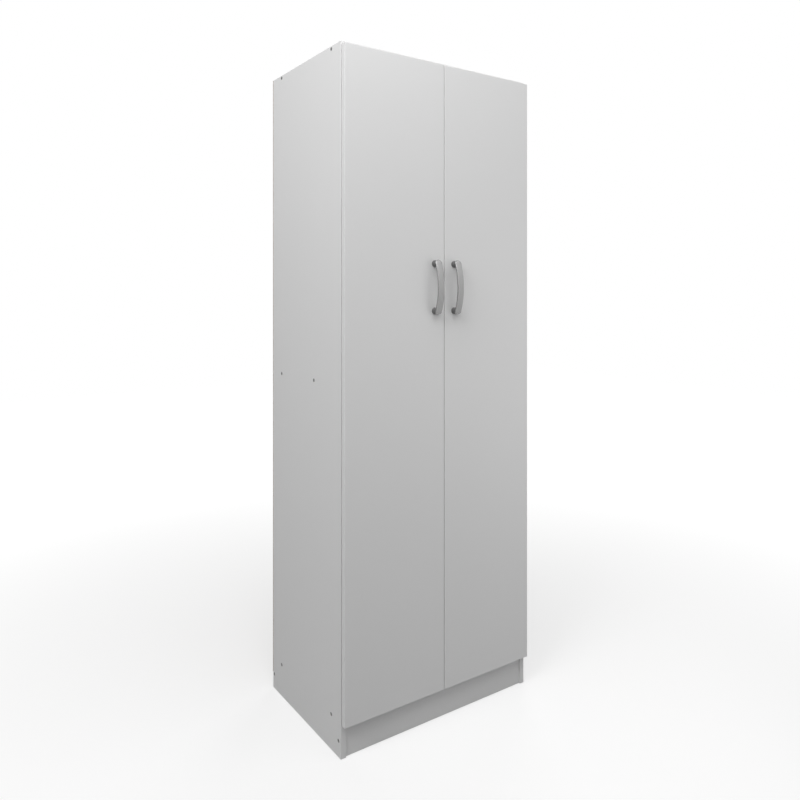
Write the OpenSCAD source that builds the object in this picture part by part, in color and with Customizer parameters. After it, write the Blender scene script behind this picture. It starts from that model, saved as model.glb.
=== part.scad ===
// Two-door wardrobe of white faced chipboard, with concealed hinges and bow handles.
// Millimetres. +X is to the right, the doors face -Y, +Z is up and the floor is at 0.

/* [Carcass] */
// Overall height from the floor
total_h = 1800; // [1500:10:2000]
// Overall width over the side panels
total_w = 630; // [560:5:800]
// Depth of a side panel
side_d = 403; // [360:1:560]
// Thickness of the carcass boards
board_t = 15; // [15:0.5:18]
// Height of the plinth, up to the underside of the bottom panel
plinth_h = 83; // [60:1:120]
// How far the front plinth stands back from the side panels
plinth_setback = 5; // [2:1:40]
// Height of the fixed shelf's underside
fixed_shelf_z = 928; // [800:1:1150]
// How far both shelves stand back from the side panels' front edges
shelf_setback = 95; // [80:1:140]
// Chamfer on the edges of the sides and doors
edge_chamfer = 0.6; // [0.2:0.1:1]

/* [Back] */
// Thickness of the hardboard back
back_t = 3; // [2.5:0.5:4]
// How far the back stands in from the outer faces and the top
back_inset = 0.5; // [0.5:0.5:4]
// Height at which the back starts, on the rear rail
back_start_z = 45; // [30:1:55]
// Gap between the two back sheets, behind the fixed shelf
back_seam = 1; // [0.5:0.5:3]
// Largest distance between nails
nail_pitch = 160; // [100:10:220]
// Length of a nail
nail_len = 18; // [14:1:24]
// Radius of a nail's shank
nail_r = 0.7; // [0.6:0.05:0.9]
// Radius of a nail's head
nail_head_r = 2.2; // [1.8:0.1:2.6]
// Thickness of a nail's head
nail_head_t = 0.8; // [0.5:0.1:1.2]

/* [Carcass screws] */
// Radius of a screw's countersunk head
screw_head_r = 4.8; // [4.2:0.1:5.4]
// Radius of the plain shank
screw_shank_r = 3.4; // [3:0.1:3.5]
// Radius of the threaded part, in the end of a panel
screw_thread_r = 2.6; // [2.2:0.1:2.9]
// Overall length
screw_len = 48; // [40:1:55]
// Depth of the cone under the head
screw_cone = 2.6; // [2:0.1:3.2]
// How far the head is sunk under the surface
screw_sink = 0.4; // [0.2:0.1:0.8]
// Key socket, across its corners
screw_socket_w = 4.6; // [3.6:0.1:5]
// Depth of the key socket
screw_socket_d = 3; // [2:0.1:4]
// Front screw of the top and bottom panels, from the front edge
screw_front_inset = 50; // [35:1:80]
// Front screw of the fixed shelf, from the shelf's front edge
shelf_screw_inset = 50; // [35:1:80]
// Rear screws, from the rear edge
screw_rear_inset = 58; // [40:1:80]
// Length of a screw's tapered tip
screw_tip_l = 2; // [1:0.5:4]

/* [Doors] */
// Thickness of a door
door_t = 15; // [15:0.5:19]
// Gap between the doors and the carcass
door_gap = 2; // [1.5:0.25:2.5]
// How far a door stops short of the side panel's outer face
door_reveal = 1.5; // [1:0.25:2]
// Gap between the two doors
door_middle_gap = 2; // [1.5:0.5:5]
// Height of the doors' bottom edges above the bottom panel's underside
door_bottom_gap = 2; // [1:0.5:7]
// Distance of the doors' top edges below the top
door_top_gap = 8.5; // [2:0.5:9]
// Radius of a soft bumper
bumper_r = 3; // [2.5:0.1:3]
// Gap between a bumper and the closed door
bumper_clear = 0.3; // [0.1:0.1:0.6]
// Distance of a bumper from the middle
bumper_x = 22; // [12:1:60]

/* [Handles] */
// Distance between the two screws of a handle
handle_pitch = 128; // [96:16:192]
// Height of a handle's middle
handle_z = 1184; // [1050:1:1300]
// Line of a handle, from its door's meeting edge
handle_inset = 32.5; // [24:0.5:60]
// Width of the bow
handle_w = 20; // [19.5:0.5:24]
// Thickness of the bow
handle_t = 4.5; // [4:0.5:6]
// Reach of the bow from the door at its ends
handle_end_reach = 20.5; // [20:0.5:28]
// How much further the bow reaches at its middle
handle_rise = 11; // [5:0.5:12]
// Radius of a post
handle_post_r = 9.5; // [8:0.25:9.75]
// Radius of a handle screw
handle_screw_r = 2; // [1.75:0.25:2.5]
// Radius of a handle screw's head
handle_screw_head_r = 4; // [3.5:0.25:4.5]
// Thickness of a handle screw's head
handle_screw_head_t = 2.4; // [2:0.1:3]
// How far a handle screw goes into its post
handle_screw_grip = 9; // [7:0.5:12]

/* [Hinges] */
// Hinges on each door
hinge_count = 3; // [2:1:5]
// Distance from a door's end to its nearest hinge
hinge_end_inset = 100; // [80:5:180]
// Outer radius of a hinge cup
cup_r = 17.5; // [17:0.1:17.5]
// Depth of a hinge cup in the door
cup_depth = 11.6; // [11.4:0.1:12]
// Wall of a hinge cup
cup_wall = 0.9; // [0.7:0.1:1]
// Floor of a hinge cup
cup_floor = 0.8; // [0.6:0.1:0.8]
// Distance from the door's outer edge to the cup
cup_edge = 3.7; // [3.5:0.1:4]
// Thickness of the cup's flange on the door's back
flange_t = 1; // [0.8:0.1:1.2]
// Half the length of the cup's flange
flange_half_l = 30; // [28:0.5:34]
// Cup screws, from the cup's middle along the door
cup_screw_z = 24; // [22:0.5:26]
// Cup screws, from the cup's middle across the door
cup_screw_x = 9.5; // [8:0.5:11]
// Pivot in the arm's nose, from the side panel's outer face
arm_pivot_x = 9.6; // [9.5:0.1:9.8]
// Pivot in the arm's nose, in from the door's back face
arm_pivot_depth = 7.9; // [7.5:0.1:8]
// Pivot in the cup, inwards from the cup's middle
cup_pivot_x = 11.3; // [10.5:0.1:11.5]
// Pivot in the cup, in from the door's back face
cup_pivot_depth = 2.6; // [2.6:0.1:3.2]
// Radius of the pivot pins
pivot_r = 1; // [0.9:0.05:1.1]
// Radius of the nose and of the links' ends
nose_r = 2.2; // [2:0.1:2.3]
// Half the thickness of the arm's neck, along the plan
neck_half = 1.4; // [1.2:0.1:1.5]
// Height of the arm's neck
neck_h = 4; // [3:0.5:4]
// Thickness of a link plate
link_t = 1.2; // [1:0.1:1.3]
// Half the width of a link plate
link_half = 1.6; // [1.3:0.1:1.8]
// Thickness of a lug in the cup
lug_t = 1.5; // [1.2:0.1:2]
// Clearance between plates that turn against each other
plate_clear = 0.3; // [0.2:0.05:0.4]
// Height of the mounting plate's rib above the side panel
rib_h = 6; // [5:0.5:7]
// Width of the mounting plate's rib
rib_w = 11; // [9:0.5:13]
// Mounting screws, from the side panel's front edge
plate_y = 37; // [37:1:42]
// Half the distance between the mounting screws
plate_screw_z = 16; // [16:0.5:20]
// Thickness of the mounting plate's wings
wing_t = 2; // [1.6:0.1:2.5]
// Width of the mounting plate's wings
wing_w = 13; // [11:0.5:16]
// Thickness of the arm on its rib
arm_t = 5; // [4:0.5:6]
// Width of the arm on its rib
arm_w = 14; // [12:0.5:16]
// Start of the arm, from the side panel's front edge
arm_front_y = 6; // [5:0.5:8]
// Length of the arm on its rib
arm_l = 52; // [48:1:58]
// Front screw of the arm, from the arm's start
arm_screw_front = 16; // [15:0.5:20]
// Rear screw of the arm, from the arm's start
arm_screw_rear = 40; // [34:0.5:44]
// Depth of the slot in an arm screw's head
slot_d = 0.8; // [0.5:0.1:1.1]

/* [Small screws] */
// Radius of a small screw's head
small_head_r = 3.4; // [3:0.1:3.7]
// Radius of a small screw's shank
small_shank_r = 1.7; // [1.4:0.1:1.9]
// Length of a small screw
small_len = 13; // [10:0.5:13]
// Depth of the cone under a small screw's head
small_cone = 1.6; // [1.2:0.1:1.8]
// Width of the cross in a screw's head
cross_w = 0.9; // [0.6:0.1:1.2]
// Radius of an arm screw's head
arm_screw_head_r = 3.6; // [3:0.1:4]
// Thickness of an arm screw's head
arm_screw_head_t = 1.6; // [1.2:0.1:2]
// Radius of an arm screw
arm_screw_r = 2; // [1.6:0.1:2.2]

/* [Hanging rail] */
// Outer radius of the rail
rail_r = 10; // [8:0.5:12.5]
// Wall of the rail
rail_wall = 1; // [0.8:0.1:1.5]
// Height from the rail's axis to the top panel
rail_drop = 52; // [45:1:70]
// Distance of a rail bracket from the front and rear edges
bracket_inset = 45; // [30:1:80]
// Depth of a bracket, along the rail
bracket_l = 13; // [10:0.5:18]
// Closed end of a bracket's socket
bracket_end = 3; // [2:0.5:4]
// Wall of a bracket's socket
bracket_wall = 3; // [2.5:0.5:4]
// Thickness of a bracket's plate
bracket_plate_t = 3; // [2.5:0.5:4]
// Width of a bracket's plate
bracket_plate_w = 58; // [50:1:70]
// Distance between a bracket's screws
bracket_screw_pitch = 40; // [36:1:44]
// Width of a bracket's stem
bracket_stem_w = 12; // [9:0.5:16]

/* [Adjustable shelf] */
// Gap at each end of the adjustable shelf
shelf_end_gap = 1; // [1:0.25:2]
// Holes in each row for shelf pins
pin_rows = 9; // [5:2:13]
// Distance between holes in a row
pin_pitch = 32; // [20:1:40]
// Rows of pin holes, in from the shelf's front and rear edges
pin_row_inset = 37; // [30:1:60]
// Radius of a shelf pin's peg
pin_r = 2.5; // [2:0.25:3]
// Length of a shelf pin's peg in its hole
pin_peg_l = 8.5; // [7:0.5:10]
// Radius of a shelf pin's collar
pin_collar_r = 3.4; // [3.2:0.1:3.6]
// Thickness of a shelf pin's collar
pin_collar_t = 0.7; // [0.5:0.1:0.8]
// Length of the seat that carries the shelf
pin_seat_l = 9; // [7:0.5:12]
// Width of the seat that carries the shelf
pin_seat_w = 7; // [6:0.5:8]
// Thickness of the seat that carries the shelf
pin_seat_t = 2; // [1.5:0.1:2.5]
// Height of the seat above the peg's axis
pin_seat_top = 3.6; // [3.6:0.1:4]

/* [Hidden] */
$fn = 48;

faced_white = [0.80, 0.80, 0.80];
back_white = [0.74, 0.74, 0.73];
satin_nickel = [0.62, 0.61, 0.59];
zinc = [0.66, 0.67, 0.69];
chrome = [0.78, 0.79, 0.80];
clear_grey = [0.85, 0.86, 0.87];
pin_nickel = [0.70, 0.69, 0.66];

// Radial clearance of what sits in a hole
fit_gap = 0.05;
// What a cut runs past the face that it opens
over = 1;
// Distance of the end nails from the bottom of the back, and from the seam and the top
nail_end_gap = 20;
nail_corner_gap = 60;
// Straight rim of a carcass screw's head, its step from shank to thread, and its blunt tip
screw_rim = 0.5;
screw_step = 0.6;
screw_tip_r = 0.6;
// Cross in a small screw's head: its arm as a share of the head's radius, and its depth
cross_share = 0.55;
cross_d = 1;
// Neck of a hinge arm: its line above the rib, its bend and its root in the arm
neck_line = 2;
neck_bend_x = 4.5;
neck_bend_depth = 0.9;
neck_root = 8;
// Start of the rib, from the start of the arm
rib_start = 12;
// Flange of a cup: its start from the side panel's inner face, its rim, and its wings' start
flange_start = 2;
flange_rim = 1.1;
wing_start_x = 1;
wing_start_z = 8;
// Lug in a cup, beyond the pivot's boss and into the cup's wall
lug_margin = 0.2;
lug_root = 1;

inner_w = total_w - 2 * board_t;
front_face_y = -(door_gap + door_t);
door_back_y = -door_gap;
handle_mid_reach = handle_end_reach + handle_rise;
y_mid = (front_face_y - handle_mid_reach + side_d + back_t) / 2;

bottom_top_z = plinth_h + board_t;
top_under_z = total_h - board_t;
shelf_d = side_d - shelf_setback;
door_w = (total_w - 2 * door_reveal - door_middle_gap) / 2;
door_bottom_z = plinth_h + door_bottom_gap;
door_top_z = total_h - door_top_gap;
door_h = door_top_z - door_bottom_z;

// Carcass screws as [y, z] on a side panel's face
rear_screw_y = side_d - screw_rear_inset;
side_screws = [
    [screw_front_inset, total_h - board_t / 2],
    [rear_screw_y, total_h - board_t / 2],
    [shelf_setback + shelf_screw_inset, fixed_shelf_z + board_t / 2],
    [rear_screw_y, fixed_shelf_z + board_t / 2],
    [screw_front_inset, plinth_h + board_t / 2],
    [rear_screw_y, plinth_h + board_t / 2],
    [plinth_setback + board_t / 2, plinth_h / 2],
    [side_d - board_t / 2, plinth_h / 2]];

hinge_zs = [for (i = [0:hinge_count - 1])
    door_bottom_z + hinge_end_inset
    + i * (door_h - 2 * hinge_end_inset) / (hinge_count - 1)];
cup_x = door_reveal + cup_edge + cup_r;
cup_inner_r = cup_r - cup_wall;
cup_floor_y = door_back_y - cup_depth + cup_floor;
arm_pivot = [arm_pivot_x, door_back_y - arm_pivot_depth];
cup_pivot = [cup_x + cup_pivot_x, door_back_y - cup_pivot_depth];
// The arm's neck runs from its nose round the side panel's edge to the arm on its rib
arm_line_x = board_t + rib_h + neck_line;
neck_bend = [arm_line_x + neck_bend_x, door_back_y - neck_bend_depth];
neck_path = [arm_pivot, neck_bend, [arm_line_x, arm_front_y],
    [arm_line_x, arm_front_y + neck_root]];
link_z = neck_h / 2 + plate_clear;
lug_z = link_z + link_t + plate_clear;
arm_screw_ys = [arm_front_y + arm_screw_front, arm_front_y + arm_screw_rear];

handle_bow_r = (pow(handle_pitch / 2, 2) + pow(handle_rise, 2)) / (2 * handle_rise);
handle_screw_zs = [handle_z - handle_pitch / 2, handle_z + handle_pitch / 2];
handle_x = door_reveal + door_w - handle_inset;

lower_bay_mid_z = (bottom_top_z + fixed_shelf_z) / 2;
pin_zs = [for (i = [0:pin_rows - 1]) lower_bay_mid_z + (i - (pin_rows - 1) / 2) * pin_pitch];
pin_ys = [shelf_setback + pin_row_inset, side_d - pin_row_inset];
adjustable_shelf_z = lower_bay_mid_z + pin_seat_top;

rail_z = top_under_z - rail_drop;
bracket_r = rail_r + bracket_wall;
rail_front_y = bracket_inset + bracket_end;
rail_rear_y = side_d - rail_front_y;

bumper_t = door_gap - bumper_clear;
bumper_zs = [(bottom_top_z + door_bottom_z) / 2, (top_under_z + door_top_z) / 2];

// Evenly spaced values from a to b, no further apart than the pitch
function spread(a, b, pitch) = let (n = ceil((b - a) / pitch))
    [for (i = [0:n]) a + i * (b - a) / n];

// The two back sheets as [low z, high z]
seam_z = fixed_shelf_z + board_t / 2;
lower_sheet = [back_start_z, seam_z - back_seam / 2];
upper_sheet = [seam_z + back_seam / 2, total_h - back_inset];
nail_side_x = total_w / 2 - board_t / 2;
nail_row_x = nail_side_x - nail_pitch / 2;
nail_seam_step = board_t / 4 + back_seam / 4;

// Nails as [x, z]: up both sides, along the top and bottom, and on both sides of the seam
side_nails = [for (s = [-1, 1], z = concat(
    spread(lower_sheet[0] + nail_end_gap, lower_sheet[1] - nail_corner_gap, nail_pitch),
    spread(upper_sheet[0] + nail_corner_gap, upper_sheet[1] - nail_corner_gap, nail_pitch)))
    [s * nail_side_x, z]];
row_nails = [for (x = spread(-nail_row_x, nail_row_x, nail_pitch), z = [
    plinth_h + board_t / 2, seam_z - nail_seam_step, seam_z + nail_seam_step,
    total_h - board_t / 2]) [x, z]];

function unit(v) = v / norm(v);
function left_of(v) = [-v[1], v[0]];
// Corner of a bar of half width h at b, on the way from a to c
function mitre(a, b, c, h) = let (n = left_of(unit(b - a)), m = unit(n + left_of(unit(c - b))))
    b + m * h / (m * n);
// One side of a bar that follows a path
function bar_side(p, h) = let (k = len(p) - 1) concat(
    [p[0] + h * left_of(unit(p[1] - p[0]))],
    [for (i = [1:1:k - 1]) mitre(p[i - 1], p[i], p[i + 1], h)],
    [p[k] + h * left_of(unit(p[k] - p[k - 1]))]);
function backwards(list) = [for (i = [len(list) - 1:-1:0]) list[i]];

// Outline of a rectangle with cut corners
function cut_rect(w, h, c) = [[c, 0], [w - c, 0], [w, c], [w, h - c], [w - c, h], [c, h],
    [0, h - c], [0, c]];

// A board with all its edges chamfered
module slab(w, d, h, c) {
    intersection() {
        linear_extrude(h) polygon(cut_rect(w, d, c));
        translate([0, d, 0]) rotate([90, 0, 0]) linear_extrude(d) polygon(cut_rect(w, h, c));
        rotate([90, 0, 90]) linear_extrude(w) polygon(cut_rect(d, h, c));
    }
}

// Places children with X from the left side panel's outer face, or mirrored for the right one,
// and Y from the side panels' front edges
module at_side(s) {
    translate([0, -y_mid, 0])
        mirror([s > 0 ? 1 : 0, 0, 0])
            translate([-total_w / 2, 0, 0]) children();
}

// Places children with X from the middle and Y from the side panels' front edges
module at_middle() {
    translate([0, -y_mid, 0]) children();
}

// Turns a shape that stands along +Z so that it points along +X, +Y or -Y
module along_x() { rotate([0, 90, 0]) children(); }
module along_y() { rotate([-90, 0, 0]) children(); }
module along_minus_y() { rotate([90, 0, 0]) children(); }

// Countersunk shape along +Z from its head's flat, larger all round by gap
module countersunk(head_r, shank_r, cone, length, gap) {
    rotate_extrude()
        polygon([[0, 0], [head_r + gap, 0], [shank_r + gap, cone],
            [shank_r + gap, length + gap], [0, length + gap]]);
}

// Cross recess in a small screw's head
module cross_recess(head_r) {
    for (a = [0, 90]) rotate(a)
        translate([-head_r * cross_share, -cross_w / 2, -over])
            cube([2 * head_r * cross_share, cross_w, over + cross_d]);
}

module small_screw() {
    difference() {
        countersunk(small_head_r, small_shank_r, small_cone, small_len, 0);
        cross_recess(small_head_r);
    }
}

module small_screw_hole() {
    countersunk(small_head_r, small_shank_r, small_cone, small_len, fit_gap);
}

// Carcass screw along +Z: sunk head, shank in the side panel, thread in the panel's end
module carcass_screw_shape(gap) {
    head_z = gap > 0 ? -over : screw_sink;
    rotate_extrude()
        polygon([[0, head_z], [screw_head_r + gap, head_z],
            [screw_head_r + gap, screw_sink + screw_rim],
            [screw_shank_r + gap, screw_sink + screw_rim + screw_cone],
            [screw_shank_r + gap, board_t - over],
            [screw_thread_r + gap, board_t - over + screw_step],
            [screw_thread_r + gap, screw_len - screw_tip_l + gap],
            [screw_tip_r + gap, screw_len + gap],
            [0, screw_len + gap]]);
}

module side_screw_holes() {
    for (p = side_screws) translate([0, p[0], p[1]]) along_x() carcass_screw_shape(fit_gap);
}

module carcass_screws() {
    for (p = side_screws) translate([0, p[0], p[1]]) along_x()
        difference() {
            carcass_screw_shape(0);
            translate([0, 0, screw_sink - over])
                cylinder(r = screw_socket_w / 2, h = screw_socket_d + over, $fn = 6);
        }
}

module nail_places(nails) {
    for (p = nails) translate([p[0], side_d + back_t, p[1]]) along_minus_y() children();
}

module nail_holes(nails) {
    nail_places(nails) {
        translate([0, 0, -over]) cylinder(r = nail_head_r + fit_gap, h = nail_head_t + over);
        cylinder(r = nail_r + fit_gap, h = nail_len + fit_gap, $fn = 16);
    }
}

module side_panel() {
    own_nails = [for (p = side_nails) if (p[0] < 0) [total_w / 2 + p[0], p[1]]];
    difference() {
        slab(board_t, side_d, total_h, edge_chamfer);
        side_screw_holes();
        nail_holes(own_nails);
        for (y = pin_ys, z = pin_zs) translate([board_t - pin_peg_l - fit_gap, y, z])
            along_x() cylinder(r = pin_r + fit_gap, h = pin_peg_l + over);
        for (z = hinge_zs, q = [-1, 1]) at_plate_screw(z, q) small_screw_hole();
    }
}

// A board between the side panels, with the carcass screws' and nails' holes in it
module inner_board(y, d, z, h) {
    difference() {
        translate([-inner_w / 2, y, z]) cube([inner_w, d, h]);
        for (s = [-1, 1]) mirror([s > 0 ? 1 : 0, 0, 0])
            translate([-total_w / 2, 0, 0]) side_screw_holes();
        nail_holes([for (p = row_nails) if (p[1] > z && p[1] < z + h) p]);
    }
}

module left_side_panel() { color(faced_white) at_side(-1) side_panel(); }
module right_side_panel() { color(faced_white) at_side(1) side_panel(); }

module top_panel() {
    color(faced_white) at_middle() difference() {
        inner_board(0, side_d, top_under_z, board_t);
        bracket_screw_places() small_screw_hole();
    }
}

module bottom_panel() {
    color(faced_white) at_middle() inner_board(0, side_d, plinth_h, board_t);
}

module fixed_shelf() {
    color(faced_white) at_middle()
        inner_board(shelf_setback, shelf_d, fixed_shelf_z, board_t);
}

module front_plinth() {
    color(faced_white) at_middle() inner_board(plinth_setback, board_t, 0, plinth_h);
}

module rear_rail() {
    color(faced_white) at_middle() inner_board(side_d - board_t, board_t, 0, plinth_h);
}

module back_sheet(span) {
    difference() {
        translate([-total_w / 2 + back_inset, side_d, span[0]])
            cube([total_w - 2 * back_inset, back_t, span[1] - span[0]]);
        nail_holes([for (p = concat(side_nails, row_nails))
            if (p[1] > span[0] && p[1] < span[1]) p]);
    }
}

module upper_back() { color(back_white) at_middle() back_sheet(upper_sheet); }
module lower_back() { color(back_white) at_middle() back_sheet(lower_sheet); }

module back_nails() {
    color(zinc) at_middle() nail_places(concat(side_nails, row_nails)) {
        cylinder(r = nail_head_r, h = nail_head_t);
        cylinder(r = nail_r, h = nail_len, $fn = 16);
    }
}

module left_carcass_screws() { color(zinc) at_side(-1) carcass_screws(); }
module right_carcass_screws() { color(zinc) at_side(1) carcass_screws(); }

module adjustable_shelf() {
    color(faced_white) at_middle()
        translate([-inner_w / 2 + shelf_end_gap, shelf_setback, adjustable_shelf_z])
            cube([inner_w - 2 * shelf_end_gap, shelf_d, board_t]);
}

module shelf_pins() {
    color(pin_nickel) for (s = [-1, 1]) at_side(s)
        for (y = pin_ys) translate([board_t, y, lower_bay_mid_z]) {
            translate([-pin_peg_l, 0, 0]) along_x() cylinder(r = pin_r, h = pin_peg_l + pin_collar_t);
            along_x() cylinder(r = pin_collar_r, h = pin_collar_t);
            translate([0, -pin_seat_w / 2, pin_seat_top - pin_seat_t])
                cube([pin_seat_l, pin_seat_w, pin_seat_t]);
        }
}

// Places children at a rail bracket's screws, pointing up from its plate
module bracket_screw_places() {
    for (y = [bracket_inset, side_d - bracket_inset - bracket_l], s = [-1, 1])
        translate([s * bracket_screw_pitch / 2, y + bracket_l / 2, top_under_z - bracket_plate_t])
            children();
}

module hanging_rail() {
    color(chrome) at_middle() translate([0, rail_front_y + fit_gap, rail_z]) along_y()
        difference() {
            length = rail_rear_y - rail_front_y - 2 * fit_gap;
            cylinder(r = rail_r, h = length);
            translate([0, 0, -over]) cylinder(r = rail_r - rail_wall, h = length + 2 * over);
        }
}

// The front bracket, with its socket open towards the rear
module rail_bracket() {
    difference() {
        union() {
            translate([-bracket_plate_w / 2, bracket_inset, top_under_z - bracket_plate_t])
                cube([bracket_plate_w, bracket_l, bracket_plate_t]);
            translate([-bracket_stem_w / 2, bracket_inset, rail_z])
                cube([bracket_stem_w, bracket_l, rail_drop - bracket_plate_t / 2]);
            translate([0, bracket_inset, rail_z]) along_y() cylinder(r = bracket_r, h = bracket_l);
        }
        translate([0, rail_front_y, rail_z]) along_y() cylinder(r = rail_r + fit_gap, h = bracket_l);
    }
}

module rail_brackets() {
    color(chrome) at_middle() difference() {
        union() {
            rail_bracket();
            translate([0, side_d, 0]) mirror([0, 1, 0]) rail_bracket();
        }
        bracket_screw_places() small_screw_hole();
    }
}

module rail_bracket_screws() { color(zinc) at_middle() bracket_screw_places() small_screw(); }

module door_bumpers() {
    color(clear_grey) at_middle() for (x = [-bumper_x, bumper_x], z = bumper_zs)
        translate([x, 0, z]) along_minus_y() cylinder(r = bumper_r, h = bumper_t);
}

// Places children at a mounting plate's screw, pointing into the side panel
module at_plate_screw(z, q) {
    translate([board_t + wing_t, plate_y, z + q * plate_screw_z]) rotate([0, -90, 0]) children();
}

module hinge_plates() {
    rib_y = arm_front_y + rib_start;
    for (z = hinge_zs) difference() {
        union() {
            translate([board_t, plate_y - wing_w / 2, z - plate_screw_z - wing_w / 2])
                cube([wing_t, wing_w, 2 * plate_screw_z + wing_w]);
            translate([board_t, rib_y, z - rib_w / 2])
                cube([rib_h, arm_front_y + arm_l - rib_y, rib_w]);
        }
        for (q = [-1, 1]) at_plate_screw(z, q) small_screw_hole();
        for (y = arm_screw_ys) translate([board_t + over, y, z]) along_x()
            cylinder(r = arm_screw_r + fit_gap, h = rib_h);
    }
}

module plate_screws() {
    for (z = hinge_zs, q = [-1, 1]) at_plate_screw(z, q) small_screw();
}

module hinge_arms() {
    for (z = hinge_zs) difference() {
        union() {
            translate([board_t + rib_h, arm_front_y, z - arm_w / 2]) cube([arm_t, arm_l, arm_w]);
            translate([0, 0, z - neck_h / 2]) linear_extrude(neck_h)
                polygon(concat(bar_side(neck_path, neck_half),
                    backwards(bar_side(neck_path, -neck_half))));
            translate([arm_pivot[0], arm_pivot[1], z - neck_h / 2])
                cylinder(r = nose_r, h = neck_h);
        }
        translate([arm_pivot[0], arm_pivot[1], z - neck_h])
            cylinder(r = pivot_r + fit_gap, h = 2 * neck_h);
        for (y = arm_screw_ys) translate([board_t + rib_h - over, y, z]) along_x()
            cylinder(r = arm_screw_r + fit_gap, h = arm_t + 2 * over);
    }
}

module arm_screws() {
    for (z = hinge_zs, y = arm_screw_ys) translate([board_t + rib_h + arm_t, y, z]) {
        difference() {
            along_x() cylinder(r = arm_screw_head_r, h = arm_screw_head_t);
            translate([arm_screw_head_t - slot_d, -arm_screw_head_r - over, -cross_w / 2])
                cube([over + slot_d, 2 * arm_screw_head_r + 2 * over, cross_w]);
        }
        translate([-arm_t - rib_h + over + fit_gap, 0, 0]) along_x()
            cylinder(r = arm_screw_r, h = arm_t + rib_h);
    }
}

// A pin along Z at a pivot, its length shared evenly about each hinge's middle
module pivot_pins(pivot, half_l) {
    for (z = hinge_zs) translate([pivot[0], pivot[1], z - half_l])
        cylinder(r = pivot_r, h = 2 * half_l);
}

module hinge_links() {
    path = [arm_pivot, cup_pivot];
    for (z = hinge_zs, q = [-1, 1])
        translate([0, 0, z + (q > 0 ? link_z : -link_z - link_t)]) difference() {
            union() {
                linear_extrude(link_t)
                    polygon(concat(bar_side(path, link_half), backwards(bar_side(path, -link_half))));
                for (p = path) translate(p) cylinder(r = nose_r, h = link_t);
            }
            for (p = path) translate([p[0], p[1], -over])
                cylinder(r = pivot_r + fit_gap, h = link_t + 2 * over);
        }
}

// Places children at a cup screw, pointing into the door
module at_cup_screw(z, q) {
    translate([cup_x + cup_screw_x, door_back_y + flange_t, z + q * cup_screw_z])
        along_minus_y() children();
}

// A cup's barrel and its flange, whose rim stops short of the side panel's edge
module cup_body() {
    flange_x = board_t + flange_start - cup_x;
    flange_end = cup_r + flange_rim;
    translate([0, door_back_y, 0]) {
        along_minus_y() cylinder(r = cup_r, h = cup_depth);
        intersection() {
            along_y() cylinder(r = flange_end, h = flange_t);
            translate([flange_x, 0, -flange_end - over])
                cube([flange_end - flange_x + over, flange_t, 2 * flange_end + 2 * over]);
        }
        for (q = [0, 1]) mirror([0, 0, q]) translate([wing_start_x, 0, wing_start_z])
            cube([flange_end - wing_start_x, flange_t, flange_half_l - wing_start_z]);
    }
}

// The two lugs in a cup that hold its pivot pin
module cup_lugs() {
    lug_x = cup_pivot_x - nose_r - lug_margin;
    lug_y = cup_floor_y - cup_floor / 2;
    for (q = [0, 1]) mirror([0, 0, q]) translate([lug_x, lug_y, lug_z])
        cube([cup_r - lug_root - lug_x, cup_pivot[1] + nose_r - lug_y, lug_t]);
}

module hinge_cups() {
    for (z = hinge_zs) difference() {
        translate([cup_x, 0, z]) union() {
            difference() {
                cup_body();
                translate([0, cup_floor_y, 0]) along_y()
                    cylinder(r = cup_inner_r, h = cup_depth + flange_t);
            }
            cup_lugs();
        }
        translate([cup_pivot[0], cup_pivot[1], z - lug_z - lug_t - over])
            cylinder(r = pivot_r + fit_gap, h = 2 * (lug_z + lug_t + over));
        for (q = [-1, 1]) at_cup_screw(z, q) small_screw_hole();
    }
}

module cup_screws() {
    for (z = hinge_zs, q = [-1, 1]) at_cup_screw(z, q) small_screw();
}

module door() {
    difference() {
        translate([door_reveal, front_face_y, door_bottom_z])
            slab(door_w, door_t, door_h, edge_chamfer);
        for (z = hinge_zs) {
            translate([cup_x, door_back_y + over, z]) along_minus_y()
                cylinder(r = cup_r + fit_gap, h = cup_depth + fit_gap + over);
            for (q = [-1, 1]) at_cup_screw(z, q) small_screw_hole();
        }
        for (z = handle_screw_zs) translate([handle_x, front_face_y - over, z]) along_y()
            cylinder(r = handle_screw_r + fit_gap, h = door_t + 2 * over);
    }
}

// Outline of a bow seen from the front: straight sides and half-round ends
function bow_outline(w, pitch) = [for (q = [1, -1], a = [0:15:180])
    [q * w / 2 * cos(a), q * (pitch / 2 + w / 2 * sin(a))]];

// A drum about the axis of the bow's curve, at a depth into the bow
module bow_drum(depth, over_w = 0) {
    translate([-handle_w - over_w, handle_bow_r - handle_mid_reach, 0]) along_x()
        cylinder(r = handle_bow_r - depth, h = 2 * (handle_w + over_w), $fn = 256);
}

module bow_handle() {
    translate([handle_x, front_face_y, handle_z]) difference() {
        union() {
            intersection() {
                along_minus_y() linear_extrude(handle_mid_reach + over)
                    polygon(bow_outline(handle_w, handle_pitch));
                difference() {
                    bow_drum(0);
                    bow_drum(handle_t, over);
                }
            }
            intersection() {   // the posts end inside the bow
                for (z = [-handle_pitch / 2, handle_pitch / 2]) translate([0, 0, z])
                    along_minus_y() cylinder(r = handle_post_r, h = handle_mid_reach);
                bow_drum(handle_t / 2);
            }
        }
        for (z = [-handle_pitch / 2, handle_pitch / 2]) translate([0, over, z])
            along_minus_y() cylinder(r = handle_screw_r + fit_gap, h = handle_screw_grip + 1 + over);
    }
}

module handle_screws() {
    for (z = handle_screw_zs) translate([handle_x, door_back_y, z]) {
        difference() {
            along_y() cylinder(r = handle_screw_head_r, h = handle_screw_head_t);
            translate([0, handle_screw_head_t, 0]) along_minus_y() cross_recess(handle_screw_head_r);
        }
        along_minus_y() cylinder(r = handle_screw_r, h = door_t + handle_screw_grip);
    }
}

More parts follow.
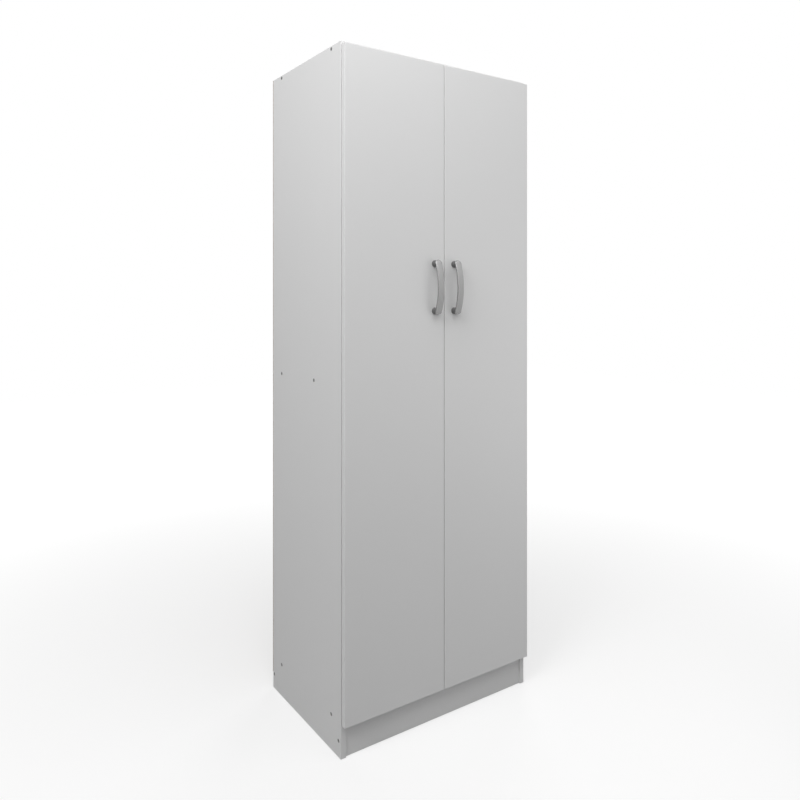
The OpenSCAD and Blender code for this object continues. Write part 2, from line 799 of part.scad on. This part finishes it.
module left_hinge_plates() { color(zinc) at_side(-1) hinge_plates(); }
module right_hinge_plates() { color(zinc) at_side(1) hinge_plates(); }
module left_plate_screws() { color(zinc) at_side(-1) plate_screws(); }
module right_plate_screws() { color(zinc) at_side(1) plate_screws(); }
module left_hinge_arms() { color(zinc) at_side(-1) hinge_arms(); }
module right_hinge_arms() { color(zinc) at_side(1) hinge_arms(); }
module left_arm_screws() { color(zinc) at_side(-1) arm_screws(); }
module right_arm_screws() { color(zinc) at_side(1) arm_screws(); }
module left_arm_pins() { color(zinc) at_side(-1) pivot_pins(arm_pivot, link_z + link_t); }
module right_arm_pins() { color(zinc) at_side(1) pivot_pins(arm_pivot, link_z + link_t); }
module left_hinge_links() { color(zinc) at_side(-1) hinge_links(); }
module right_hinge_links() { color(zinc) at_side(1) hinge_links(); }
module left_door() { color(faced_white) at_side(-1) door(); }
module right_door() { color(faced_white) at_side(1) door(); }
module left_hinge_cups() { color(zinc) at_side(-1) hinge_cups(); }
module right_hinge_cups() { color(zinc) at_side(1) hinge_cups(); }
module left_cup_screws() { color(zinc) at_side(-1) cup_screws(); }
module right_cup_screws() { color(zinc) at_side(1) cup_screws(); }
module left_cup_pins() { color(zinc) at_side(-1) pivot_pins(cup_pivot, lug_z + lug_t); }
module right_cup_pins() { color(zinc) at_side(1) pivot_pins(cup_pivot, lug_z + lug_t); }
module left_handle() { color(satin_nickel) at_side(-1) bow_handle(); }
module right_handle() { color(satin_nickel) at_side(1) bow_handle(); }
module left_handle_screws() { color(zinc) at_side(-1) handle_screws(); }
module right_handle_screws() { color(zinc) at_side(1) handle_screws(); }

left_side_panel();
right_side_panel();
top_panel();
bottom_panel();
fixed_shelf();
front_plinth();
rear_rail();
upper_back();
lower_back();
back_nails();
left_carcass_screws();
right_carcass_screws();
adjustable_shelf();
shelf_pins();
hanging_rail();
rail_brackets();
rail_bracket_screws();
door_bumpers();
left_hinge_plates();
right_hinge_plates();
left_plate_screws();
right_plate_screws();
left_hinge_arms();
right_hinge_arms();
left_arm_screws();
right_arm_screws();
left_arm_pins();
right_arm_pins();
left_hinge_links();
right_hinge_links();
left_door();
right_door();
left_hinge_cups();
right_hinge_cups();
left_cup_screws();
right_cup_screws();
left_cup_pins();
right_cup_pins();
left_handle();
right_handle();
left_handle_screws();
right_handle_screws();
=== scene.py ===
import bpy
import bmesh
import math
from mathutils import Matrix, Vector


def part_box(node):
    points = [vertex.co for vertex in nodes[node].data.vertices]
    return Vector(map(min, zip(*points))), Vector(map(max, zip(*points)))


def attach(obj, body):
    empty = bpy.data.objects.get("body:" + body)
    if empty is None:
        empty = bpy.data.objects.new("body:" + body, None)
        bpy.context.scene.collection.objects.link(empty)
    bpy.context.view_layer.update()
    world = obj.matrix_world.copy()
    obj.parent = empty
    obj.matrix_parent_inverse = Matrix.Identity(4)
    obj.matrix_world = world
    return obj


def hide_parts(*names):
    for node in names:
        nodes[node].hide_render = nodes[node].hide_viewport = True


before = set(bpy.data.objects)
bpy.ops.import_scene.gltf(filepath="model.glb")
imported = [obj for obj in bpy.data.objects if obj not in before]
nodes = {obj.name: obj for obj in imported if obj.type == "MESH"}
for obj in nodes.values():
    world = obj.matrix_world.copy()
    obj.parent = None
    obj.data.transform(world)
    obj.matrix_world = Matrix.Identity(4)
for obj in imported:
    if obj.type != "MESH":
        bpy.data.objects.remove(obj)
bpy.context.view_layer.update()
mm = 0.001
print("wardrobe frame loaded:", len(nodes), "nodes")


def join(tree, value, socket):
    if isinstance(value, Wire):
        tree.links.new(value.socket, socket)
    else:
        socket.default_value = value


class Wire:
    # One output of a shader tree. Sums and products of wires and numbers add Math nodes.
    def __init__(self, tree, socket):
        self.tree = tree
        self.socket = socket

    def math(self, operation, *others, first=None):
        made = self.tree.nodes.new("ShaderNodeMath")
        made.operation = operation
        given = (self, *others) if first is None else (first, self)
        for value, socket in zip(given, made.inputs):
            join(self.tree, value, socket)
        return Wire(self.tree, made.outputs[0])

    def __add__(self, other):
        return self.math("ADD", other)

    def __radd__(self, other):
        return self.math("ADD", other)

    def __sub__(self, other):
        return self.math("SUBTRACT", other)

    def __rsub__(self, other):
        return self.math("SUBTRACT", first=other)

    def __mul__(self, other):
        return self.math("MULTIPLY", other)

    def __rmul__(self, other):
        return self.math("MULTIPLY", other)

    def __truediv__(self, other):
        return self.math("DIVIDE", other)

    def __gt__(self, other):
        return self.math("GREATER_THAN", other)

    def __lt__(self, other):
        return self.math("LESS_THAN", other)

    def __abs__(self):
        return self.math("ABSOLUTE")

    def root(self):
        return self.math("SQRT")

    def largest(self, other):
        return self.math("MAXIMUM", other)

    def smallest(self, other):
        return self.math("MINIMUM", other)


class ShaderTree:
    def __init__(self, tree):
        self.tree = tree

    def node(self, kind, settings=None, values=None, output=0):
        made = self.tree.nodes.new("ShaderNode" + kind)
        for key, value in (settings or {}).items():
            if key == "stops":
                fillRamp(made.color_ramp, value)
            else:
                setattr(made, key, value)
        for key, value in (values or {}).items():
            join(self.tree, value, made.inputs[key])
        return Wire(self.tree, made.outputs[output])

    def blend(self, factor, first, second):
        return self.node("Mix", {"data_type": "RGBA"}, {0: factor, 6: first, 7: second}, output=2)

    def seenRays(self):
        # 1 for what the camera, a gloss or clear plastic sees, 0 for light that falls on the object
        rays = [self.node("LightPath", output=name) for name in
                ("Is Camera Ray", "Is Glossy Ray", "Is Transmission Ray")]
        return rays[0].largest(rays[1]).largest(rays[2])


def fillRamp(ramp, stops):
    while len(ramp.elements) > 1:
        ramp.elements.remove(ramp.elements[-1])
    ramp.elements[0].position = stops[0][0]
    ramp.elements[0].color = stops[0][1]
    for position, colour in stops[1:]:
        ramp.elements.new(position).color = colour


def grey(level, warmth=0.0):
    return (level * (1 + warmth), level, level * (1 - warmth), 1)


class Finish(ShaderTree):
    # A Principled material whose patterns lie on Object coordinates, in metres
    def __init__(self, name, **fixed):
        self.material = bpy.data.materials.new(name)
        self.material.use_nodes = True
        super().__init__(self.material.node_tree)
        self.shader = self.tree.nodes["Principled BSDF"]
        self.place = self.node("TexCoord", output="Object")
        self.set(**fixed)

    def set(self, **values):
        names = {"colour": "Base Color", "rough": "Roughness", "metal": "Metallic", "normal": "Normal",
                 "specular": "Specular IOR Level", "clear": "Transmission Weight", "ior": "IOR"}
        for key, value in values.items():
            join(self.tree, value, self.shader.inputs[names[key]])

    def axes(self):
        made = self.tree.nodes.new("ShaderNodeSeparateXYZ")
        join(self.tree, self.place, made.inputs[0])
        return [Wire(self.tree, output) for output in made.outputs]

    def noise(self, scale, detail=2.0, stretch=(1, 1, 1), roughness=0.5):
        place = self.node("Mapping", {}, {"Vector": self.place, "Scale": stretch})
        return self.node("TexNoise", {}, {"Vector": place, "Scale": scale, "Detail": detail,
                                          "Roughness": roughness})

    def bump(self, height):
        # height is in metres
        return self.node("Bump", {}, {"Height": height, "Distance": 1.0})


def dress(nodeName, material):
    mesh = nodes[nodeName].data
    mesh.materials.clear()
    mesh.materials.append(material)


boards = {
    "white": 0.735,            # linear grey of the melamine
    "cloud": 0.012,            # how far its tone drifts over a door
    "cloudSize": 2.2,          # waves per metre
    "cloudDetail": 3,
    "specular": 0.5,
    "rough": 0.36,
    "roughDrift": 0.06,
    "pearl": 950,              # fine pearl texture, grains per metre
    "pearlDepth": 0.012 * mm,
    "skin": 0.25 * mm,         # melamine on each face
    "band": 0.8 * mm,          # edge band
    "seam": 0.12 * mm,         # glue line between band and face
    "seamShade": 0.90,
    "chips": 380,              # chips of the bare core per metre
    "chipDepth": 0.2 * mm,
    "chipRough": 0.85,
    "chipTones": ((0, (0.16, 0.09, 0.045, 1)), (0.35, (0.42, 0.27, 0.14, 1)),
                  (1, (0.52, 0.37, 0.21, 1))),
}


def boardFinish(nodeName, faceAxis, rawSides):
    # rawSides are the sides that no edge band covers, such as "+y"
    low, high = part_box(nodeName)
    made = Finish(nodeName + "Board", specular=boards["specular"])
    axes = made.axes()
    across = axes[faceAxis]
    core = (across > low[faceAxis] + boards["skin"]) * (across < high[faceAxis] - boards["skin"])
    seams = None
    for axis, letter in enumerate("xyz"):
        if axis == faceAxis:
            continue
        for sign, edge in (("-", low[axis]), ("+", high[axis])):
            if sign + letter in rawSides:
                continue
            depth = axes[axis] - edge if sign == "-" else edge - axes[axis]
            core = core * (depth > boards["band"])
            line = abs(depth - boards["band"]) < boards["seam"] / 2
            seams = line if seams is None else seams.largest(line)
    cloud = made.noise(boards["cloudSize"], boards["cloudDetail"])
    tone = boards["white"] * (1 - boards["cloud"] + 2 * boards["cloud"] * cloud)
    if seams is not None:
        tone = tone * (1 - (1 - boards["seamShade"]) * seams)
    white = made.node("CombineColor", {}, {0: tone, 1: tone, 2: tone})
    chips = made.node("TexVoronoi", {}, {"Vector": made.place, "Scale": boards["chips"]}, output="Color")
    chipTone = made.node("SeparateColor", {}, {0: chips})
    wood = made.node("ValToRGB", {"stops": boards["chipTones"]}, {0: chipTone})
    pearl = made.noise(boards["pearl"], 1)
    height = pearl * (1 - core) * boards["pearlDepth"] + chipTone * core * boards["chipDepth"]
    faceRough = boards["rough"] + boards["roughDrift"] * cloud
    made.set(colour=made.blend(core, white, wood),
             rough=faceRough * (1 - core) + boards["chipRough"] * core,
             normal=made.bump(height))
    dress(nodeName, made.material)


boardFinish("left_side_panel", 0, ("-z", "+y"))
boardFinish("right_side_panel", 0, ("-z", "+y"))
for nodeName in ("top_panel", "bottom_panel", "fixed_shelf", "adjustable_shelf"):
    boardFinish(nodeName, 2, ("-x", "+x", "+y"))
for nodeName in ("front_plinth", "rear_rail"):
    boardFinish(nodeName, 1, ("-x", "+x", "-z", "+z"))
for nodeName in ("left_door", "right_door"):
    boardFinish(nodeName, 1, ())
print("boards faced")


back = {
    "lacquer": 0.66,           # linear grey of the inner face
    "warmth": 0.005,
    "lacquerDepth": 0.2 * mm,
    "lacquerRough": 0.45,
    "brown": (0.20, 0.115, 0.060, 1),
    "light": (0.29, 0.175, 0.095, 1),
    "fibreTone": 0.7,          # how much fibres and blotches lighten the brown
    "blotchTone": 0.6,
    "toneDrop": 0.15,
    "specular": 0.35,
    "rough": 0.78,
    "mesh": 620,               # wires of the pressing screen per metre
    "meshDepth": 0.12 * mm,
    "meshShare": 0.6,          # of the relief, the fibres make the rest
    "fibre": 90,
    "fibreDetail": 5,
    "fibreRoughness": 0.65,
    "blotch": 5,
}


def backFinish(nodeName):
    low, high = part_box(nodeName)
    made = Finish(nodeName + "Sheet", specular=back["specular"])
    x, y, z = made.axes()
    inside = y < low[1] + back["lacquerDepth"]
    outside = 1 - inside
    fibre = made.noise(back["fibre"], back["fibreDetail"], roughness=back["fibreRoughness"])
    blotch = made.noise(back["blotch"])
    across = (x * (back["mesh"] * math.pi)).math("SINE")
    up = (z * (back["mesh"] * math.pi)).math("SINE")
    wires = across * up
    shade = fibre * back["fibreTone"] + blotch * back["blotchTone"] - back["toneDrop"]
    relief = fibre * (1 - back["meshShare"]) + wires * wires * back["meshShare"]
    made.set(colour=made.blend(inside, made.blend(shade, back["brown"], back["light"]),
                               grey(back["lacquer"], back["warmth"])),
             rough=inside * back["lacquerRough"] + outside * back["rough"],
             normal=made.bump(relief * outside * back["meshDepth"]))
    dress(nodeName, made.material)


backFinish("upper_back")
backFinish("lower_back")
print("back sheets dressed")


metals = {
    "darkScrew": {"tone": grey(0.24, -0.01), "rough": 0.36, "grain": 700, "spread": 0.12},
    "zincScrew": {"tone": grey(0.52, -0.01), "rough": 0.34, "grain": 700, "spread": 0.12},
    "nailSteel": {"tone": grey(0.42), "rough": 0.42, "grain": 500, "spread": 0.15},
    "hingeNickel": {"tone": grey(0.60, 0.015), "rough": 0.24, "grain": 260, "spread": 0.10},
    "pivotSteel": {"tone": grey(0.48), "rough": 0.30, "grain": 400, "spread": 0.10},
    "pinNickel": {"tone": grey(0.58, 0.03), "rough": 0.28, "grain": 400, "spread": 0.10},
    "railChrome": {"tone": grey(0.72, -0.01), "rough": 0.10, "grain": 60, "spread": 0.06},
    "castZinc": {"tone": grey(0.46, -0.01), "rough": 0.42, "grain": 300, "spread": 0.12},
}
metalNodes = {
    "darkScrew": ("left_carcass_screws", "right_carcass_screws"),
    "zincScrew": ("rail_bracket_screws", "left_plate_screws", "right_plate_screws", "left_arm_screws",
                  "right_arm_screws", "left_cup_screws", "right_cup_screws", "left_handle_screws",
                  "right_handle_screws"),
    "nailSteel": ("back_nails",),
    "hingeNickel": ("left_hinge_plates", "right_hinge_plates", "left_hinge_arms", "right_hinge_arms",
                    "left_hinge_links", "right_hinge_links", "left_hinge_cups", "right_hinge_cups"),
    "pivotSteel": ("left_arm_pins", "right_arm_pins", "left_cup_pins", "right_cup_pins"),
    "pinNickel": ("shelf_pins",),
    "railChrome": ("hanging_rail",),
    "castZinc": ("rail_brackets",),
}
plating = {
    "detail": 4,               # of the grain
    "dim": 0.9,                # tone of its darker grains, as a share of the metal's
    "depth": 0.02 * mm,
}


def metalFinish(name, look):
    made = Finish(name, metal=1.0)
    grain = made.noise(look["grain"], plating["detail"])
    darker = tuple(part * plating["dim"] for part in look["tone"][:3]) + (1,)
    made.set(colour=made.blend(grain, darker, look["tone"]),
             rough=look["rough"] + look["spread"] * (grain - 0.5),
             normal=made.bump(grain * plating["depth"]))
    return made.material


for name, look in metals.items():
    metal = metalFinish(name, look)
    for nodeName in metalNodes[name]:
        dress(nodeName, metal)
print("metal fittings dressed")


edges = {
    "bevel": math.radians(60),  # a sharper edge gets a round
    "sharp": math.radians(40),  # shading breaks at a sharper edge
}
outward = Matrix.Rotation(math.pi / 2, 4, "X")   # turns a cylinder's length from z to y


def addPiece(name, shape, material):
    mesh = bpy.data.meshes.new(name)
    shape.to_mesh(mesh)
    shape.free()
    mesh.shade_smooth()
    mesh.set_sharp_from_angle(angle=edges["sharp"])
    mesh.materials.append(material)
    piece = bpy.data.objects.new(name, mesh)
    bpy.context.scene.collection.objects.link(piece)
    return piece


bow = {
    "pitch": 128 * mm,         # between the two screws
    "middle": 1184 * mm,       # height of the bow's middle
    "width": 20 * mm,
    "thick": 4.5 * mm,
    "endReach": 20.5 * mm,     # from the door to the bow's front, at the screws
    "rise": 11 * mm,           # how much further its middle reaches
    "endRound": 0.49,          # round of its ends, as a share of the width
    "endSteps": 12,
    "postRadius": 9.5 * mm,
    "postSides": 48,
    "softening": 1.3 * mm,     # round on the bow's edges
    "softSteps": 4,
    "foot": 0.4 * mm,          # round where a post meets the door
    "footSteps": 2,
    "steps": 20,               # along the bow
    "satin": 0.375,            # grey of the plating
    "satinSpread": 0.04,
    "warmth": 0.004,
    "mottle": 60,
    "metal": 0.40,             # the matt plating shows little of the metal
    "rough": 0.52,
    "streaks": 900,            # brushed along the bow
    "streakLength": 0.03,
    "streakRough": 0.06,
    "streakDepth": 0.02 * mm,
    # painted shade: the posts' dark grey stands in for the shade and dark reflections they get between the
    # door and the bow
    "postShadeTone": 0.10,
    "postRough": 0.30,
    "postMargin": 0.2 * mm,
    "rubbed": 0.12,            # roughness of the edges, which hands have polished
    # painted reflection: the polished edges' grey is set below the satin's so that they read as a dark
    # line, standing in for dark surroundings that they would mirror
    "rubbedEdgeShadeTone": 0.31,
    "rubbedMetal": 0.95,
    "rubbedWidth": 1.5 * mm,
}
bow["radius"] = ((bow["pitch"] / 2) ** 2 + bow["rise"] ** 2) / (2 * bow["rise"])
bow["reach"] = bow["endReach"] + bow["rise"]


def bowDepth(height, inward):
    # y of the bow's curve at a height from its middle, a distance inside its front
    radius = bow["radius"] - inward
    return bow["radius"] - bow["reach"] - math.sqrt(radius * radius - height * height)


def addStrap(shape):
    length = bow["pitch"] + bow["width"]
    bmesh.ops.create_cube(shape, size=1.0, matrix=Matrix.Diagonal((bow["width"], bow["thick"], length, 1)))
    rails = [e for e in shape.edges if abs(e.verts[0].co.z - e.verts[1].co.z) > length / 2]
    bmesh.ops.subdivide_edges(shape, edges=rails, cuts=bow["steps"] - 1, use_grid_fill=True)
    ends = [e for e in shape.edges
            if abs(e.verts[0].co.y - e.verts[1].co.y) > bow["thick"] / 2
            and min(abs(v.co.z) for v in e.verts) > length / 2 - mm]
    bmesh.ops.bevel(shape, geom=ends, offset=bow["width"] * bow["endRound"], segments=bow["endSteps"],
                    profile=0.5, affect="EDGES", material=-1)
    rim = [e for e in shape.edges if len(e.link_faces) == 2 and e.calc_face_angle() > edges["bevel"]]
    bmesh.ops.bevel(shape, geom=rim, offset=bow["softening"], segments=bow["softSteps"],
                    profile=0.5, affect="EDGES", material=-1)
    for vert in shape.verts:   # bend it into the bow
        vert.co.y = bowDepth(vert.co.z, vert.co.y + bow["thick"] / 2)


def addPost(shape, height):
    made = bmesh.ops.create_cone(shape, cap_ends=True, segments=bow["postSides"],
                                 radius1=bow["postRadius"], radius2=bow["postRadius"],
                                 depth=bow["endReach"],
                                 matrix=Matrix.Translation((0, -bow["endReach"] / 2, height))
                                 @ outward)["verts"]
    front = [v for v in made if v.co.y < -bow["endReach"] / 2]
    foot = [e for e in shape.edges if all(v in made and v not in front for v in e.verts)]
    for vert in front:         # it ends inside the bow
        vert.co.y = bowDepth(vert.co.z, bow["thick"] / 2)
    bmesh.ops.bevel(shape, geom=foot, offset=bow["foot"], segments=bow["footSteps"],
                    profile=0.5, affect="EDGES", material=-1)


def handleFinish():
    # one material for both handles, which are mirrored about the middle
    made = Finish("satinNickel")
    low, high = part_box("right_handle")
    x, y, z = made.axes()
    across = abs(abs(x) - (low[0] + high[0]) / 2)
    along = abs(z - bow["middle"])
    fromPost = along - bow["pitch"] / 2
    beyond = fromPost.largest(0)
    fromLine = (across * across + beyond * beyond).root()
    rim = fromLine > bow["width"] / 2 - bow["rubbedWidth"]
    inPost = (across * across + fromPost * fromPost).root() < bow["postRadius"] + bow["postMargin"]
    depth = high[1] - y
    backReach = bow["reach"] - bow["thick"] - along * along * (0.5 / bow["radius"])
    post = inPost * (depth < backReach)
    strap = 1 - post
    streaks = made.noise(bow["streaks"], 3, (1, 1, bow["streakLength"]))
    satin = made.blend(made.noise(bow["mottle"]), grey(bow["satin"] * (1 - bow["satinSpread"])),
                       grey(bow["satin"] * (1 + bow["satinSpread"]), bow["warmth"]))
    # the edges get the painted dark-reflection grey
    plated = made.blend(rim, satin, grey(bow["rubbedEdgeShadeTone"]))
    # the posts take the painted shade grey
    made.set(colour=made.blend(post, plated, grey(bow["postShadeTone"])),
             rough=(bow["rough"] + bow["streakRough"] * streaks) * (1 - rim) * strap
                   + bow["rubbed"] * rim * strap + bow["postRough"] * post,
             metal=(bow["metal"] * (1 - rim) + bow["rubbedMetal"] * rim) * strap,
             normal=made.bump(streaks * bow["streakDepth"]))
    return made.material


def makeHandle(side, metal):
    shape = bmesh.new()
    addStrap(shape)
    for height in (-bow["pitch"] / 2, bow["pitch"] / 2):
        addPost(shape, height)
    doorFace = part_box(side + "_door")[0][1]
    low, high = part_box(side + "_handle")
    bmesh.ops.translate(shape, verts=shape.verts, vec=((low[0] + high[0]) / 2, doorFace, bow["middle"]))
    bmesh.ops.recalc_face_normals(shape, faces=shape.faces)
    handle = addPiece(side + "Handle", shape, metal)
    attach(handle, side + "_door_assembly")
    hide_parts(side + "_handle")


handleMetal = handleFinish()
for side in ("left", "right"):
    makeHandle(side, handleMetal)
print("bow handles made")


bumper = {
    "radius": 3 * mm,
    "sides": 32,
    "round": 0.8 * mm,
    "roundSteps": 4,
    "clear": 0.6,
    "ior": 1.45,
    "tones": (0.70, 0.80),
    "bubbles": 1500,
    "rough": 0.22,
    "roughDrift": 0.1,
}


def bumperFinish():
    made = Finish("clearRubber", clear=bumper["clear"], ior=bumper["ior"])
    bubbles = made.noise(bumper["bubbles"])
    made.set(colour=made.blend(bubbles, grey(bumper["tones"][0]), grey(bumper["tones"][1])),
             rough=bumper["rough"] + bumper["roughDrift"] * bubbles)
    return made.material


def makeBumpers():
    low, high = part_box("door_bumpers")
    shape = bmesh.new()
    thick = high[1] - low[1]
    middle = high[1] - thick / 2
    for x in (low[0] + bumper["radius"], high[0] - bumper["radius"]):
        for z in (low[2] + bumper["radius"], high[2] - bumper["radius"]):
            bmesh.ops.create_cone(shape, cap_ends=True, segments=bumper["sides"],
                                  radius1=bumper["radius"], radius2=bumper["radius"], depth=thick,
                                  matrix=Matrix.Translation((x, middle, z)) @ outward)
    rims = [e for e in shape.edges if e.calc_face_angle() > edges["bevel"] and e.verts[0].co.y < middle]
    bmesh.ops.bevel(shape, geom=rims, offset=bumper["round"], segments=bumper["roundSteps"],
                    profile=0.5, affect="EDGES", material=-1)
    bumpers = addPiece("softBumpers", shape, bumperFinish())
    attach(bumpers, "carcass")
    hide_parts("door_bumpers")


makeBumpers()
print("bumpers made")


studio = {
    "ambient": 0.10,
    "floorTone": 0.40,         # what the floor sends back onto the wardrobe
    "floorSeen": 0.95,         # how pale the camera sees it
    "floorRough": 0.9,
    "floorGlow": 1.02,         # far off, where it passes into the white background
    "floorSize": 14,
    "floorDrop": 0.3 * mm,     # under the wardrobe's foot, so that the two don't share a face
    "shadowShare": 0.40,       # how much of the floor's shading the camera sees near the wardrobe
    "fadeFrom": 0.5,           # metres from the middle
    "fadeTo": 2.2,
    "aim": (0, 0, 0.9),
    "lamps": {
        "leftCeiling": {"place": (-2.4, -0.8, 2.9), "size": 1.7, "power": 41.4},
        "leftSoft": {"place": (-1.7, -1.7, 2.6), "size": 3.2, "power": 27.5},
        "overhead": {"place": (0, -1.2, 3.0), "size": 2.0, "power": 19.8},
        "steepSpot": {"place": (-0.57, -0.61, 3.0), "size": 0.25, "power": 4.5},
        "lowFill": {"place": (0.7, -0.9, 0.88), "size": 1.2, "power": 2.5, "shines": False},
        "rearFill": {"place": (2.2, 1.9, 1.9), "size": 1.8, "power": 27},
    },
}
view = {
    "place": (-1.1970, -1.7227, 1.1603),
    "turn": -34.51,            # degrees about the vertical
    "sensor": 36,
    "focal": 31.88,
    "shift": -0.1299,
    "near": 0.05,
    "far": 60,
}


def makeSky():
    world = bpy.data.worlds.new("studioWorld")
    bpy.context.scene.world = world
    world.use_nodes = True
    shader = world.node_tree.nodes["Background"]
    shader.inputs["Color"].default_value = (1, 1, 1, 1)
    seen = ShaderTree(world.node_tree).seenRays()
    join(world.node_tree, studio["ambient"] + (1 - studio["ambient"]) * seen, shader.inputs["Strength"])


def floorFinish():
    made = Finish("paleFloor", rough=studio["floorRough"], specular=0.0)
    seen = made.seenRays()
    made.set(colour=made.blend(seen, grey(studio["floorTone"]), grey(studio["floorSeen"])))
    x, y, z = made.axes()
    distance = (x * x + y * y).root()
    fade = (distance - studio["fadeFrom"]) / (studio["fadeTo"] - studio["fadeFrom"])
    white = made.node("Emission", {}, {"Color": (1, 1, 1, 1), "Strength": studio["floorGlow"]})
    share = seen * (1 - studio["shadowShare"] * (1 - fade.largest(0).smallest(1)))
    mixed = made.node("MixShader", {}, {0: share, 1: Wire(made.tree, made.shader.outputs[0]), 2: white})
    join(made.tree, mixed, made.tree.nodes["Material Output"].inputs["Surface"])
    return made.material


def makeFloor():
    shape = bmesh.new()
    bmesh.ops.create_grid(shape, x_segments=1, y_segments=1, size=studio["floorSize"] / 2,
                          matrix=Matrix.Translation((0, 0, -studio["floorDrop"])))
    addPiece("studioFloor", shape, floorFinish())


def makeLamp(name, lamp):
    data = bpy.data.lights.new(name, "AREA")
    data.shape = "DISK"
    data.size = lamp["size"]
    data.energy = lamp["power"]
    light = bpy.data.objects.new(name, data)
    bpy.context.scene.collection.objects.link(light)
    light.location = lamp["place"]
    light.rotation_euler = (Vector(studio["aim"]) - light.location).to_track_quat("-Z", "Y").to_euler()
    light.visible_camera = False
    light.visible_glossy = lamp.get("shines", True)   # no gloss mirrors a lamp that doesn't shine


def makeCamera():
    data = bpy.data.cameras.new("photoCamera")
    data.sensor_width = view["sensor"]
    data.lens = view["focal"]
    data.shift_y = view["shift"]
    data.clip_start = view["near"]
    data.clip_end = view["far"]
    camera = bpy.data.objects.new("photoCamera", data)
    bpy.context.scene.collection.objects.link(camera)
    camera.location = view["place"]
    camera.rotation_euler = (math.radians(90), 0, math.radians(view["turn"]))
    bpy.context.scene.camera = camera


bpy.context.scene.view_settings.view_transform = "Standard"
makeSky()
makeFloor()
for name, lamp in studio["lamps"].items():
    makeLamp(name, lamp)
makeCamera()
print("studio ready")
